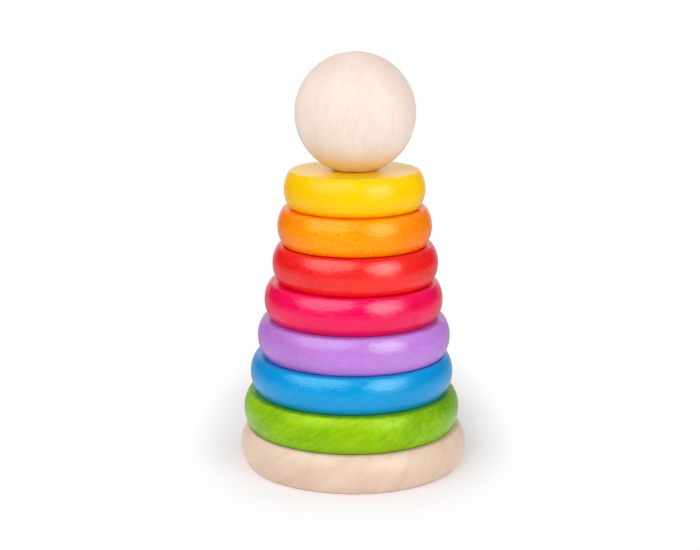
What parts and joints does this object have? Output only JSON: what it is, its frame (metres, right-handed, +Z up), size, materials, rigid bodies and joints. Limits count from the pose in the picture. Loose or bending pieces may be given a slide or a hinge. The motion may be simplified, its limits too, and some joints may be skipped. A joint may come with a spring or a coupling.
{
  "type": "stacking ring tower puzzle",
  "caption": "Wooden stacking tower: graded, rounded rings in rainbow colours loose on a peg in a round base, with a plain ball on top.",
  "frame": {"origin": "centre of the base's underside, on the peg's axis", "axes": "+Z up along the peg; +X to the right and -Y towards the viewer, seen from the front"},
  "size_m": [0.096, 0.096, 0.1737],
  "materials": {
    "base_wood": "bare pale wood, fine diagonal grain, satin",
    "peg_wood": "bare pale dowel, straight grain",
    "screw_steel": "zinc-plated steel",
    "green_stain": "glossy translucent stain over fine wood grain",
    "blue_stain": "glossy translucent stain over fine wood grain",
    "purple_stain": "glossy, nearly opaque stain",
    "pink_stain": "glossy translucent stain over fine wood grain",
    "red_stain": "glossy translucent stain over fine wood grain",
    "orange_stain": "glossy translucent stain over fine wood grain",
    "yellow_stain": "glossy, nearly opaque stain",
    "ball_wood": "bare pale wood, fine upright grain, satin"
  },
  "bodies": {
    "stand": {"base": "base_wood", "peg": "peg_wood", "peg_screw": "screw_steel"},
    "green": {"green_ring": "green_stain"},
    "blue": {"blue_ring": "blue_stain"},
    "purple": {"purple_ring": "purple_stain"},
    "pink": {"pink_ring": "pink_stain"},
    "red": {"red_ring": "red_stain"},
    "orange": {"orange_ring": "orange_stain"},
    "yellow": {"yellow_ring": "yellow_stain"},
    "ball": {"top_ball": "ball_wood"}
  },
  "joints": [
    {"name": "green_lift", "type": "slide", "parent": "stand", "child": "green", "axis": [0, 0, 1], "range_m": [0, 0.1362]},
    {"name": "blue_lift", "type": "slide", "parent": "green", "child": "blue", "axis": [0, 0, 1], "range_m": [0, 0.1206]},
    {"name": "purple_lift", "type": "slide", "parent": "blue", "child": "purple", "axis": [0, 0, 1], "range_m": [0, 0.105]},
    {"name": "pink_lift", "type": "slide", "parent": "purple", "child": "pink", "axis": [0, 0, 1], "range_m": [0, 0.0894]},
    {"name": "red_lift", "type": "slide", "parent": "pink", "child": "red", "axis": [0, 0, 1], "range_m": [0, 0.0738]},
    {"name": "orange_lift", "type": "slide", "parent": "red", "child": "orange", "axis": [0, 0, 1], "range_m": [0, 0.0582]},
    {"name": "yellow_lift", "type": "slide", "parent": "orange", "child": "yellow", "axis": [0, 0, 1], "range_m": [0, 0.0426]},
    {"name": "ball_lift", "type": "slide", "parent": "yellow", "child": "ball", "axis": [0, 0, 1], "range_m": [0, 0.027]}
  ]
}
